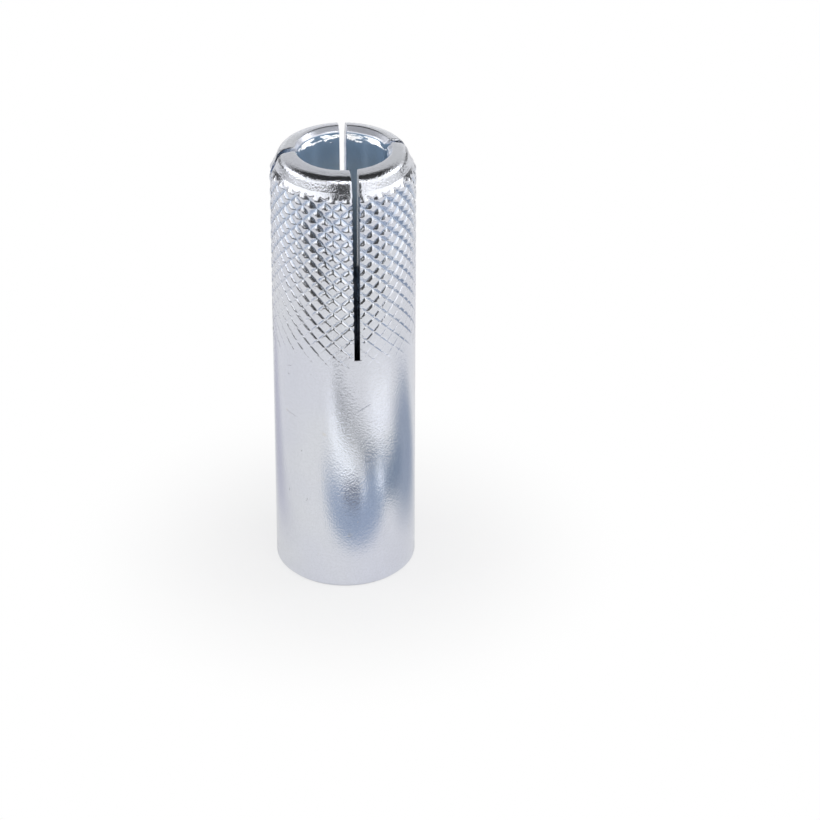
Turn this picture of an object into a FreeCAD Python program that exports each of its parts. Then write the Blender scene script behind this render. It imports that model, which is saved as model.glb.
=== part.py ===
import FreeCAD, Part
import math
import os

# Drop in anchor, M16 by 65: a slotted and knurled steel shell with an internal thread,
# and the expander plug that waits inside it. It stands on its threaded mouth.
# Millimetres, +Z along the axis, origin at the centre of the mouth's face.

# Shell, outside
shell_length = 65.0
barrel_diameter = 19.9
mouth_edge_chamfer = 0.45

# Knurl: two crossed sets of grooves, shallow at their start and full depth further up
knurl_start = 35.9
knurl_fade_length = 14.0
knurl_diamonds_round = 28
knurl_diamond_height = 2.24
knurl_depth = 0.48
knurl_raise = 0.1
knurl_lip = 0.035
knurl_crest_share = 0.14

# Head: a shoulder, a coned neck and a rounded rim with a crowned top; slopes in degrees
shoulder_height = 1.15
neck_length = 2.0
neck_slope = 20.0
rim_diameter = 18.0
rim_radius = 1.15
crown_diameter = 14.0
crown_slope = 6.0

# Bore, from the threaded mouth to the slotted end
thread_major_diameter = 16.0
thread_pitch = 2.0
thread_length = 27.0
countersink_margin = 0.45
chamber_margin = 0.2
taper_start = 34.0
taper_length = 8.0
expansion_bore_diameter = 12.4
rim_chamfer_width = 0.45
rim_chamfer_height = 0.75

# Slots: each saw cut opens two slots, and two cuts leave four legs that can spread.
# A cut is turned from the X axis and passes to the left of the shell's axis by its offset:
# as on the real anchor, the cuts cross a little off the axis and out of square.
saw_cut_turns = (-0.4, 85.3)
saw_cut_offsets = (1.0, -0.73)
slot_width = 0.93
slot_length = 27.7

# Expander plug
plug_clearance = 0.15
plug_length = 16.0
plug_standoff = 1.0
plug_seat_clearance = 0.1
plug_nose_chamfer = 0.8
plug_back_chamfer = 0.4

# Cutting tools pass this far beyond the faces that they open
overrun = 2.0
facet_tolerance = 0.001

barrel_radius = barrel_diameter / 2
crest_radius = barrel_radius + knurl_raise
shoulder_top = shell_length - neck_length
rim_start = math.radians(neck_slope)
rim_end = math.radians(90 - crown_slope)
rim_centre_radius = rim_diameter / 2 - rim_radius
crown_rise = (rim_centre_radius + rim_radius * math.cos(rim_end) - crown_diameter / 2) / math.tan(rim_end)
rim_centre_height = shell_length - crown_rise - rim_radius * math.sin(rim_end)
neck_height = rim_centre_height + rim_radius * math.sin(rim_start) - shoulder_top
neck_foot_radius = rim_centre_radius + rim_radius * math.cos(rim_start) + neck_height * math.tan(rim_start)
knurl_row_height = knurl_diamond_height / 2
tap_drill_radius = (thread_major_diameter - thread_pitch) / 2
countersink_radius = thread_major_diameter / 2 + countersink_margin
chamber_radius = tap_drill_radius + chamber_margin
expansion_radius = expansion_bore_diameter / 2
taper_end = taper_start + taper_length
taper_slope = (chamber_radius - expansion_radius) / taper_length
plug_radius = tap_drill_radius - plug_clearance


def point(radius, height):
    """Give the point of a turned outline at a radius and a height."""
    return FreeCAD.Vector(radius, 0, height)


def line(start, end):
    """Give a straight edge of a turned outline."""
    return Part.LineSegment(start, end).toShape()


def on_rim(angle):
    """Give the point of the rim's round at an angle above straight out."""
    across, up = rim_radius * math.cos(angle), rim_radius * math.sin(angle)
    return point(rim_centre_radius + across, rim_centre_height + up)


def turned(edges):
    """Spin a closed outline round the axis into a solid."""
    face = Part.Face(Part.Wire(edges))
    return face.revolve(FreeCAD.Vector(0, 0, 0), FreeCAD.Vector(0, 0, 1), 360)


def turned_polygon(places):
    """Spin an outline of straight lines, given as radius and height pairs."""
    corners = [point(radius, height) for radius, height in places]
    return turned([line(a, b) for a, b in zip(corners, corners[1:] + corners[:1])])


def plain_barrel():
    """Turn the smooth barrel, from the mouth's chamfered edge up to the knurl."""
    return turned_polygon([
        (0, 0),
        (barrel_radius - mouth_edge_chamfer, 0),
        (barrel_radius, mouth_edge_chamfer),
        (barrel_radius, knurl_start),
        (0, knurl_start),
    ])


def head():
    """Turn the neck, its rounded rim and the crown that slopes up to the bore."""
    bottom, foot = point(0, shoulder_top), point(neck_foot_radius, shoulder_top)
    crown, top = point(crown_diameter / 2, shell_length), point(0, shell_length)
    low, middle, high = [on_rim(angle) for angle in (rim_start, (rim_start + rim_end) / 2, rim_end)]
    rim = Part.Arc(low, middle, high).toShape()
    edges = [line(bottom, foot), line(foot, low), rim, line(high, crown), line(crown, top), line(top, bottom)]
    return turned(edges)


def knurl_envelope():
    """Turn the room that the knurl keeps to, with the shoulder's cone at its top."""
    return turned_polygon([
        (0, knurl_start),
        (crest_radius + overrun, knurl_start),
        (crest_radius + overrun, shoulder_top - shoulder_height),
        (crest_radius, shoulder_top - shoulder_height),
        (neck_foot_radius, shoulder_top),
        (0, shoulder_top),
    ])


def knurl_growth(height):
    """Give how far the knurl has grown at a height, from 0 at its start to 1."""
    return min(1.0, (height - knurl_start) / knurl_fade_length)


def knurl_place(column, row, in_groove):
    """Give a point of the knurled skin, on a crest or down in a groove.

    Columns count half diamonds round the barrel and rows count half diamonds up it.
    """
    height = knurl_start + row * knurl_row_height
    growth = knurl_growth(height)
    radius = barrel_radius + knurl_lip + (knurl_raise - knurl_lip) * growth
    if in_groove:
        radius -= knurl_depth * growth
    angle = column % (2 * knurl_diamonds_round) * math.pi / knurl_diamonds_round
    return (radius * math.cos(angle), radius * math.sin(angle), height)


def diamond_facets(column, row, last_row):
    """Give the facets of one diamond: its flat top and the four flanks down to the grooves.

    The top is wide where the knurl starts and small on a full crest. The first and the last
    row hold half diamonds, which close the skin along a level edge.
    """
    around = ((1, 0), (0, 1), (-1, 0), (0, -1))
    grooves = [knurl_place(column + c, row + r, True) for c, r in around]
    right, above, left, below = grooves
    centre = knurl_place(column, row, False)
    if row == 0:
        return [(left, centre, above), (centre, right, above)]
    if row == last_row:
        return [(centre, left, below), (right, centre, below)]
    share = 1 - (1 - knurl_crest_share) * knurl_growth(centre[2])
    tops = [knurl_place(column + c * share, row + r * share, False) for c, r in around]
    facets = [(tops[3], tops[0], tops[1]), (tops[1], tops[2], tops[3])]
    for here, there in ((0, 1), (1, 2), (2, 3), (3, 0)):
        facets += [(grooves[here], grooves[there], tops[there]), (grooves[here], tops[there], tops[here])]
    return facets


def knurled_core():
    """Build the knurled stretch as a solid of flat facets, a little longer than it shows."""
    last_row = math.ceil((shoulder_top - knurl_start) / knurl_row_height)
    columns = range(2 * knurl_diamonds_round)
    facets = []
    for row in range(last_row + 1):
        for column in columns:
            if (column + row) % 2 == 0:
                facets += diamond_facets(column, row, last_row)
    for row in (0, last_row):
        rim = [knurl_place(column, row, (column + row) % 2 == 1) for column in columns]
        middle = (0.0, 0.0, rim[0][2])
        for here, there in zip(rim, rim[1:] + rim[:1]):
            facets.append((middle, here, there) if row else (middle, there, here))
    numbers = {}
    triangles = [tuple(numbers.setdefault(place, len(numbers)) for place in facet) for facet in facets]
    skin = Part.Shape()
    skin.makeShapeFromMesh(([FreeCAD.Vector(*place) for place in numbers], triangles), facet_tolerance)
    return Part.Solid(Part.Shell(skin.Faces))


def bore():
    """Turn the bore: countersink, tapped length, plug chamber, taper and expansion bore."""
    overrun_width = overrun * rim_chamfer_width / rim_chamfer_height
    return turned_polygon([
        (0, -overrun),
        (countersink_radius + overrun, -overrun),
        (tap_drill_radius, countersink_radius - tap_drill_radius),
        (tap_drill_radius, thread_length),
        (chamber_radius, thread_length),
        (chamber_radius, taper_start),
        (expansion_radius, taper_end),
        (expansion_radius, shell_length - rim_chamfer_height),
        (expansion_radius + rim_chamfer_width + overrun_width, shell_length + overrun),
        (0, shell_length + overrun),
    ])


def saw_cut(turn, offset):
    """Make one saw cut, turned from the X axis and offset to the left of the shell's axis."""
    reach = crest_radius + overrun
    cut = Part.makeBox(2 * reach, slot_width, slot_length + overrun)
    cut.translate(FreeCAD.Vector(-reach, offset - slot_width / 2, shell_length - slot_length))
    cut.rotate(FreeCAD.Vector(0, 0, 0), FreeCAD.Vector(0, 0, 1), turn)
    return cut


def shell():
    """Make the anchor's shell: turned, knurled, bored and sawn."""
    knurled = knurled_core().common(knurl_envelope())
    blank = plain_barrel().fuse([knurled, head()]).removeSplitter()
    return blank.cut([bore()] + [saw_cut(*cut) for cut in zip(saw_cut_turns, saw_cut_offsets)])


def expander_plug():
    """Make the plug that a punch drives up the taper to spread the four legs."""
    back = thread_length + plug_standoff
    nose = back + plug_length
    cone_start = taper_start + (chamber_radius - plug_seat_clearance - plug_radius) / taper_slope
    nose_radius = plug_radius - (nose - cone_start) * taper_slope
    return turned_polygon([
        (0, back),
        (plug_radius - plug_back_chamfer, back),
        (plug_radius, back + plug_back_chamfer),
        (plug_radius, cone_start),
        (nose_radius + plug_nose_chamfer * taper_slope, nose - plug_nose_chamfer),
        (nose_radius - plug_nose_chamfer, nose),
        (0, nose),
    ])


def export(name, solid):
    """Write one piece as a STEP file."""
    solid.exportStep(os.path.join("parts", name + ".step"))
    print(name, "valid", solid.isValid(), "solids", len(solid.Solids), "volume", round(solid.Volume, 1))


os.makedirs("parts", exist_ok=True)
export("anchor_shell", shell())
export("expander_plug", expander_plug())
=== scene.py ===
import logging
import math
from dataclasses import dataclass, field, replace
from enum import Enum
from typing import Sequence

import bpy
import numpy as np
from mathutils import Matrix, Vector, noise


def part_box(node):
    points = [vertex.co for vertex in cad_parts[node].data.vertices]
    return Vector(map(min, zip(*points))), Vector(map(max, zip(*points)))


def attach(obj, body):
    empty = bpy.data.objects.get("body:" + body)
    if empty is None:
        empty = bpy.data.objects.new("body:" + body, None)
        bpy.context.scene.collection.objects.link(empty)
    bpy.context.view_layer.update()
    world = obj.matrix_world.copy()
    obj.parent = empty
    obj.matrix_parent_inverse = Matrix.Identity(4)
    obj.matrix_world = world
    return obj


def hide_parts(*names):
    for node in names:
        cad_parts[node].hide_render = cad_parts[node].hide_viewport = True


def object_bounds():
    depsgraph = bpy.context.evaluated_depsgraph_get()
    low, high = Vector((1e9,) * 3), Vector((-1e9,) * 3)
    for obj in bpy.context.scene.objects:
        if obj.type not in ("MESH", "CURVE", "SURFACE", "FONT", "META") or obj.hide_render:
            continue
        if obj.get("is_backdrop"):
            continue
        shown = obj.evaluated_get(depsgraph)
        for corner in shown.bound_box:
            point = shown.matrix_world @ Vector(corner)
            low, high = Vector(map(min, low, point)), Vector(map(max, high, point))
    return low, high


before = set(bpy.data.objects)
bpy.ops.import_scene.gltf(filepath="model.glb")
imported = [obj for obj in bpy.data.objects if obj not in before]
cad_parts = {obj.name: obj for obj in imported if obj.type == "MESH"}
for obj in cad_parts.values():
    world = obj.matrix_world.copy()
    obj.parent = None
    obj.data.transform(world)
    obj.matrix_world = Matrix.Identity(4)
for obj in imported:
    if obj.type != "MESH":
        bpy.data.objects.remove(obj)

# Finish and light of a drop in anchor: a slotted and knurled shell with a thread in its mouth,
# and the plug inside it. Sizes are in millimetres and angles in degrees, unless a name says
# otherwise. Angles run round the axis from +X, and the camera stands on the -Y side.

MILLIMETRE = 0.001
BODY = "root"
UP = Vector((0, 0, 1))
# Heights that differ by less than this count as the same
CLOSE = 1e-6
log = logging.getLogger("anchor")

Colour = tuple[float, float, float, float]
# Where a mask is still 0 and where it is 1
Span = tuple[float, float]
# A distance from the axis and a height
Corner = tuple[float, float]
# Pairs of numbers, whose meaning their class tells
Pairs = tuple[tuple[float, float], ...]


class Ray(Enum):
    """The kinds of ray that a surface of the studio can tell apart."""

    CAMERA = "Is Camera Ray"
    GLOSSY = "Is Glossy Ray"
    THROUGH = "Is Transmission Ray"


class Lay(Enum):
    """The two sets of knurl grooves, by the way in which they climb as they turn."""

    LEFT = 1
    RIGHT = -1


# Nodes


class Wire:
    """A number, colour or vector on its way through a node tree."""

    def __init__(self, shader: "Shader", socket: bpy.types.NodeSocket) -> None:
        """Keep the tree and the socket that gives the value."""
        self.shader = shader
        self.socket = socket

    def math(self, operation: str, *others: "Wire | float", swapped: bool = False) -> "Wire":
        """Add a Math node.

        Args:
            operation: The Math node's operation.
            others: The other values that it takes.
            swapped: Whether this wire comes after the first of the others.

        Returns:
            The node's result.
        """
        values = [*others, self] if swapped else [self, *others]
        return self.shader.add("ShaderNodeMath", {"operation": operation}, dict(enumerate(values)))

    def __add__(self, other: "Wire | float") -> "Wire":
        """Add a value."""
        return self.math("ADD", other)

    def __sub__(self, other: "Wire | float") -> "Wire":
        """Take a value away."""
        return self.math("SUBTRACT", other)

    def __rsub__(self, other: float) -> "Wire":
        """Take this value away from another."""
        return self.math("SUBTRACT", other, swapped=True)

    def __mul__(self, other: "Wire | float") -> "Wire":
        """Multiply by a value."""
        return self.math("MULTIPLY", other)

    __radd__ = __add__
    __rmul__ = __mul__

    def step(self, start: float, end: float) -> "Wire":
        """Give 0 before start, 1 after end and a smooth rise between them.

        Args:
            start: Where the rise starts. It may lie above the end, for a fall.
            end: Where the rise ends.

        Returns:
            The share, from 0 to 1.
        """
        low, high = sorted((start, end))
        share = self.shader.add(
            "ShaderNodeMapRange",
            {"interpolation_type": "SMOOTHSTEP"},
            {"Value": self, "From Min": low, "From Max": high, "To Min": 0.0, "To Max": 1.0},
        )
        return share if start < end else 1 - share

    def clipped(self) -> "Wire":
        """Keep the value between 0 and 1."""
        return self.shader.add("ShaderNodeClamp", {}, {"Value": self})


class Shader:
    """A node tree that is filled by plain expressions."""

    # The Mix node's sockets for colours
    FIRST_COLOUR = 6
    SECOND_COLOUR = 7
    MIXED_COLOUR = 2

    def __init__(self, tree: bpy.types.NodeTree) -> None:
        """Take a tree and empty it."""
        self.tree = tree
        tree.nodes.clear()

    def node(
        self, kind: str, settings: dict[str, object], inputs: dict[str | int, object]
    ) -> bpy.types.Node:
        """Add any node.

        Args:
            kind: The node's type.
            settings: Its properties, which are set first.
            inputs: Values or wires for its sockets, by name or number.

        Returns:
            The new node.
        """
        node = self.tree.nodes.new(kind)
        for name, value in settings.items():
            setattr(node, name, value)
        for name, value in inputs.items():
            if isinstance(value, Wire):
                self.tree.links.new(value.socket, node.inputs[name])
            else:
                node.inputs[name].default_value = value
        return node

    def add(
        self,
        kind: str,
        settings: dict[str, object],
        inputs: dict[str | int, object],
        output: str | int = 0,
    ) -> Wire:
        """Add any node and take one of its outputs, as the method node does it."""
        return Wire(self, self.node(kind, settings, inputs).outputs[output])

    def vector(self, operation: str, *values: object) -> Wire:
        """Add a Vector Math node whose result is a vector."""
        return self.add("ShaderNodeVectorMath", {"operation": operation}, dict(enumerate(values)), 0)

    def measure(self, operation: str, *values: object) -> Wire:
        """Add a Vector Math node whose result is a number."""
        return self.add("ShaderNodeVectorMath", {"operation": operation}, dict(enumerate(values)), 1)

    def mix(self, share: Wire, first: object, second: object) -> Wire:
        """Blend two colours.

        Args:
            share: How much of the second colour shows.
            first: A colour or a wire.
            second: A colour or a wire.

        Returns:
            The blended colour.
        """
        settings = {"data_type": "RGBA", "clamp_factor": True}
        inputs = {0: share, self.FIRST_COLOUR: first, self.SECOND_COLOUR: second}
        return self.add("ShaderNodeMix", settings, inputs, self.MIXED_COLOUR)

    def place(self) -> Wire:
        """Give the place on the object, in the object's own units."""
        return self.add("ShaderNodeTexCoord", {}, {}, "Object")

    def ray(self, kind: Ray) -> Wire:
        """Give 1 on rays of a kind and 0 on others."""
        return self.add("ShaderNodeLightPath", {}, {}, kind.value)

    def shown_rays(self) -> Wire:
        """Give 1 on the rays that show the studio itself, seen straight, mirrored or through."""
        return (self.ray(Ray.CAMERA) + self.ray(Ray.GLOSSY) + self.ray(Ray.THROUGH)).clipped()

    def finish(self, surface: Wire) -> None:
        """Make a surface the material's own."""
        self.node("ShaderNodeOutputMaterial", {}, {"Surface": surface})


def material_shader(name: str) -> tuple[bpy.types.Material, Shader]:
    """Make an empty material with nodes.

    Args:
        name: The material's name.

    Returns:
        The material and its node tree.
    """
    material = bpy.data.materials.new(name)
    material.use_nodes = True
    return material, Shader(material.node_tree)


@dataclass(frozen=True)
class Cloud:
    """Cloudy noise: its cells for each millimetre, its finer layers, and how much of it shows."""

    scale: float
    detail: float = 2.0
    roughness: float = 0.5
    stretch: tuple[float, float, float] = (1.0, 1.0, 1.0)
    shown: Span = (0.0, 1.0)
    strength: float = 1.0

    def level(self, shader: Shader, place: Wire) -> Wire:
        """Give the bare noise, a value about 0.5.

        Args:
            shader: The tree.
            place: Where it is read, in millimetres.

        Returns:
            The noise, its strength left out.
        """
        inputs = {"Vector": shader.vector("MULTIPLY", place, self.stretch), "Scale": self.scale}
        inputs |= {"Detail": self.detail, "Roughness": self.roughness}
        return shader.add("ShaderNodeTexNoise", {"noise_dimensions": "3D"}, inputs)

    def sway(self, shader: Shader, place: Wire) -> Wire:
        """Give the noise as a value about 0, as strong as it shows."""
        return (self.level(shader, place) - 0.5) * self.strength

    def mask(self, shader: Shader, place: Wire) -> Wire:
        """Give 0 where the noise is low and its strength where it is high."""
        return self.level(shader, place).step(*self.shown) * self.strength


# Finishes


@dataclass(frozen=True)
class Scratch:
    """A fine scratch on the barrel's outside."""

    angle: float
    height: float
    length: float
    lean: float
    width: float = 0.07
    ragged: Cloud = Cloud(1.6, strength=3.0)

    def mask(self, shader: Shader, place: Wire, radius: float) -> Wire:
        """Mark the scratch.

        Args:
            shader: The tree.
            place: The place on the surface, in millimetres.
            radius: The barrel's radius.

        Returns:
            1 in the scratch and 0 elsewhere.
        """
        turn, lean = math.radians(self.angle), math.radians(self.lean)
        out = Vector((math.cos(turn), math.sin(turn), 0))
        around = UP.cross(out)
        middle = out * radius + UP * self.height
        along = around * math.cos(lean) + UP * math.sin(lean)
        across = UP * math.cos(lean) - around * math.sin(lean)
        run = shader.measure("DOT_PRODUCT", place, along) - along.dot(middle)
        off = shader.measure("DOT_PRODUCT", place, across) - across.dot(middle)
        near_side = shader.measure("DOT_PRODUCT", place, out).step(0.0, 1.0)
        ragged = off + self.ragged.sway(shader, place) * self.width
        inside = run.math("ABSOLUTE").step(self.length / 2, self.length / 3)
        return ragged.math("ABSOLUTE").step(self.width, 0.0) * inside * near_side


@dataclass(frozen=True)
class ZincPlate:
    """Bright zinc plate on turned and rolled steel, a little blue, with fine grain and wear, and with
    painted shade in the knurl's grooves and near the bore's mouth, painted light deep in the bore, and
    painted highlights below the rim's chamfer.

    A region's span gives the radii or the heights between which it sets in, and the pits' span
    is in shares of a cell. Shares say how strongly something shows, and dulls how much rougher
    it is.
    """

    name: str
    metal: Colour = (0.83, 0.85, 0.89, 1.0)
    lilac: Colour = (0.79, 0.81, 0.89, 1.0)
    # blue is painted shade, which tints the knurl's grooves where they are deep
    blue: Colour = (0.56, 0.65, 0.80, 1.0)
    # The bore's tint is painted shade, blue near the mouth, turning to painted light lower down, where less
    # light reaches
    bore_shade_blue: Colour = (0.41, 0.57, 0.75, 1.0)
    bore_painted_light: Colour = (0.79, 0.91, 1.0, 1.0)
    # A painted highlight: pale patches in the bore below the rim's chamfer
    painted_highlight: Colour = (0.95, 0.96, 0.98, 1.0)
    ochre: Colour = (0.72, 0.66, 0.56, 1.0)
    pit_colour: Colour = (0.42, 0.43, 0.46, 1.0)
    clouds: Cloud = Cloud(0.06, shown=(0.3, 0.7))
    speckle: Cloud = Cloud(3.0, roughness=0.6, shown=(0.35, 0.65), strength=0.09)
    stains: Cloud = Cloud(0.42, detail=3.0, roughness=0.6, shown=(0.68, 0.78), strength=0.3)

    bore_radius: Span = (7.25, 7.05)
    bore_top: Span = (64.95, 64.9)
    # Heights over which the bore's painted shade turns to painted light
    deep_bore: Span = (62.5, 56.0)
    chamfer: Span = (64.2, 64.3)
    head: Span = (62.9, 63.1)
    knurl: Span = (35.9, 47.9)
    # Where the grooves' painted shade and extra roughness set in, by radius and by height
    groove_radius: Span = (9.89, 9.69)
    groove_end: Span = (62.1, 61.6)
    groove_shade_share: float = 0.75
    bore_shade_share: float = 0.9
    pit_share: float = 0.8

    roughness: float = 0.17
    fine_dull: Cloud = Cloud(3.2, detail=3.0, strength=0.16)
    wide_dull: Cloud = Cloud(0.3, strength=0.06)
    bore_dull: float = 0.05
    groove_dull: float = 0.08
    pit_dull: float = 0.25
    bore_metallic: float = 0.5
    bore_coat: float = 0.5
    coat_roughness: float = 0.12

    relief_height: float = 0.019
    grain: Cloud = Cloud(4.0, detail=1.0, roughness=0.4, stretch=(1.3, 1.3, 0.8))
    head_grain: float = 1.2
    drawn: Cloud = Cloud(1.0, detail=3.0, stretch=(1.6, 1.6, 0.22))
    drawn_share: float = 0.35
    turned: Cloud = Cloud(1.0, stretch=(0.12, 0.12, 5.5))
    turned_share: float = 0.5
    pit_depth: float = 0.8

    # Where the painted highlights lie, how far their normal leans up, and their wavy edge and patches
    highlight_low: Span = (63.0, 63.4)
    highlight_high: Span = (64.15, 64.05)
    highlight_lean: float = 30.0
    highlight_waves: Cloud = Cloud(1.0, detail=3.0, stretch=(0.5, 0.5, 0.1), strength=2.4)
    highlight_patches: Cloud = Cloud(1.0, detail=3.0, stretch=(0.35, 0.35, 1.2), shown=(0.44, 0.54))

    pit_cells: float = 0.32
    pit_size: Span = (0.075, 0.035)
    pit_wobble: Cloud = Cloud(4.0)
    pit_wobble_share: float = 0.05
    scratches: tuple[Scratch, ...] = ()
    scratched_radius: float = 9.95

    def material(self) -> bpy.types.Material:
        """Build the material.

        Returns:
            The finished material.
        """
        material, shader = material_shader(self.name)
        surface = PlatedSurface(self, shader)
        bore = surface.bore - surface.painted_highlight
        inputs = {
            "Base Color": surface.colour(),
            "Metallic": 1 - bore * (1 - self.bore_metallic),
            "Coat Weight": bore * self.bore_coat,
            "Coat Roughness": self.coat_roughness,
            "Roughness": surface.dullness(),
            "Normal": surface.relief(),
        }
        shader.finish(shader.add("ShaderNodeBsdfPrincipled", {}, inputs))
        return material


class PlatedSurface:
    """Zinc plate in a node tree, with the masks that its colour, dullness and relief share."""

    def __init__(self, plate: ZincPlate, shader: Shader) -> None:
        """Work out the masks, each 1 in its own region and 0 elsewhere.

        Args:
            plate: The plate.
            shader: The tree that takes it.
        """
        self.plate = plate
        self.shader = shader
        self.place = shader.vector("MULTIPLY", shader.place(), (1 / MILLIMETRE,) * 3)
        axes = shader.node("ShaderNodeSeparateXYZ", {}, {0: self.place})
        x, y, self.height = (Wire(shader, output) for output in axes.outputs)
        radius = (x * x + y * y).math("SQRT")
        self.bore = radius.step(*plate.bore_radius) * self.height.step(*plate.bore_top)
        outside = 1 - self.bore
        self.head = self.height.step(*plate.head) * outside
        self.knurl = self.height.step(*plate.knurl) * outside
        self.groove = radius.step(*plate.groove_radius) * self.knurl * self.height.step(*plate.groove_end)
        self.pits = self.pitted() * outside
        self.painted_highlight = self.highlighted() * self.bore

    def pitted(self) -> Wire:
        """Mark small pits in the plate, and the scratches.

        Returns:
            1 in a pit or a scratch and 0 elsewhere.
        """
        plate = self.plate
        cells = {"Vector": self.place, "Scale": plate.pit_cells, "Randomness": 1.0}
        spots = self.shader.add("ShaderNodeTexVoronoi", {"feature": "F1"}, cells, "Distance")
        wobble = plate.pit_wobble.level(self.shader, self.place) * plate.pit_wobble_share
        marks = (spots + wobble).step(*plate.pit_size)
        for scratch in plate.scratches:
            mask = scratch.mask(self.shader, self.place, plate.scratched_radius)
            marks = marks.math("MAXIMUM", mask)
        return marks

    def highlighted(self) -> Wire:
        """Mark the painted highlights below the rim's inner chamfer, patches where the normal also leans up,
        with their wavy lower edge.

        Returns:
            1 in a painted highlight and 0 elsewhere.
        """
        plate = self.plate
        wavy = self.height + plate.highlight_waves.sway(self.shader, self.place)
        band = wavy.step(*plate.highlight_low) * self.height.step(*plate.highlight_high)
        return band * plate.highlight_patches.mask(self.shader, self.place)

    def colour(self) -> Wire:
        """Tint the plate: cloudy lilac, with stains and pits, painted shade in blue in the knurl's deep
        grooves and near the bore's mouth, painted light deep in the bore, and painted highlights below the
        chamfer.
        """
        plate, mix = self.plate, self.shader.mix
        clouds, speckle, stains = (
            cloud.mask(self.shader, self.place) for cloud in (plate.clouds, plate.speckle, plate.stains)
        )
        # Painted shade near the bore's mouth, painted light deep in it
        bore_tint = mix(self.height.step(*plate.deep_bore), plate.bore_shade_blue, plate.bore_painted_light)
        tint = mix(speckle, mix(clouds, plate.metal, plate.lilac), plate.pit_colour)
        # Painted shade: the knurl's grooves turn blue where they are deep
        tint = mix(self.groove * plate.groove_shade_share, tint, plate.blue)
        tint = mix(self.bore * plate.bore_shade_share, tint, bore_tint)
        tint = mix(stains, tint, plate.ochre)
        tint = mix(self.pits * plate.pit_share, tint, plate.pit_colour)
        # The rim's inner chamfer keeps the plain lilac, out of the bore's painted shade
        tint = mix(self.height.step(*plate.chamfer) * self.bore, tint, plate.lilac)
        # Painted highlight below the rim's chamfer
        return mix(self.painted_highlight, tint, plate.painted_highlight)

    def dullness(self) -> Wire:
        """Give the roughness, uneven at a fine and at a wide scale.

        Returns:
            The roughness.
        """
        plate = self.plate
        fine, wide = (cloud.sway(self.shader, self.place) for cloud in (plate.fine_dull, plate.wide_dull))
        worn = self.bore * plate.bore_dull + self.groove * plate.groove_dull + self.pits * plate.pit_dull
        return fine + wide + plate.roughness + worn

    def relief(self) -> Wire:
        """Raise the fine grain of the plate, drawn out along the turned surfaces.

        Returns:
            The surface's normal.
        """
        plate = self.plate
        grain, drawn, turned = (
            cloud.level(self.shader, self.place) for cloud in (plate.grain, plate.drawn, plate.turned)
        )
        height = grain * (self.head * plate.head_grain + 1) + drawn * plate.drawn_share * (1 - self.knurl)
        height = height + turned * self.bore * plate.turned_share - self.pits * plate.pit_depth
        inputs = {"Strength": 1.0, "Distance": plate.relief_height * MILLIMETRE, "Height": height}
        inputs["Normal"] = self.leaning(self.painted_highlight * math.tan(math.radians(plate.highlight_lean)))
        return self.shader.add("ShaderNodeBump", {}, inputs)

    def leaning(self, slope: Wire) -> Wire:
        """Turn the surface's normal up.

        Args:
            slope: By how much, as a rise for each unit outwards.

        Returns:
            The turned normal.
        """
        normal = self.shader.add("ShaderNodeNewGeometry", {}, {}, "Normal")
        raised = self.shader.vector("ADD", normal, self.shader.vector("MULTIPLY", UP, slope))
        return self.shader.vector("NORMALIZE", raised)


@dataclass(frozen=True)
class PaleGround:
    """The floor: pale and matt, and for the camera fading to plain white away from the part."""

    name: str = "pale_ground"
    colour: Colour = (0.86, 0.86, 0.87, 1.0)
    white: Colour = (1.0, 1.0, 1.0, 1.0)
    fade: Span = (10.0, 42.0)
    near_white: float = 0.68
    mirrored_white: float = 0.3

    def material(self) -> bpy.types.Material:
        """Build the material.

        Returns:
            The finished material.
        """
        material, shader = material_shader(self.name)
        distance = shader.measure("LENGTH", shader.place()) * (1 / MILLIMETRE)
        seen = (distance.step(*self.fade) * (1 - self.near_white) + self.near_white) * shader.ray(Ray.CAMERA)
        share = seen + shader.ray(Ray.GLOSSY) * self.mirrored_white
        matt = shader.add("ShaderNodeBsdfDiffuse", {}, {"Color": self.colour})
        glow = shader.add("ShaderNodeEmission", {}, {"Color": self.white, "Strength": 1.0})
        shader.finish(shader.add("ShaderNodeMixShader", {}, {0: share, 1: matt, 2: glow}))
        return material


@dataclass(frozen=True)
class CardPaper:
    """Plain paper of one colour, for the cards that shape the reflections."""

    name: str
    colour: Colour
    edge: float = 0.0

    def material(self) -> bpy.types.Material:
        """Build the material, which fades out towards the card's rim if it has a soft edge.

        Returns:
            The finished material.
        """
        material, shader = material_shader(self.name)
        surface = shader.add("ShaderNodeEmission", {}, {"Color": self.colour, "Strength": 1.0})
        if self.edge:
            share = shader.measure("LENGTH", shader.place()).step(1.0, 1.0 - self.edge)
            clear = shader.add("ShaderNodeBsdfTransparent", {}, {})
            surface = shader.add("ShaderNodeMixShader", {}, {0: share, 1: clear, 2: surface})
        shader.finish(surface)
        return material


# Mesh making


def level_ring(radius: float | np.ndarray, height: float | np.ndarray, angles: np.ndarray) -> np.ndarray:
    """Give points round the axis.

    Args:
        radius: Their distance from the axis, one for all or one for each.
        height: Their height, likewise.
        angles: The angle of each, in radians.

    Returns:
        One point a row.
    """
    heights = np.broadcast_to(height, angles.shape)
    return np.stack([radius * np.cos(angles), radius * np.sin(angles), heights], 1)


def full_turn(count: int) -> np.ndarray:
    """Give evenly spaced angles round the axis, in radians."""
    return np.arange(count) * 2 * math.pi / count


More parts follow.
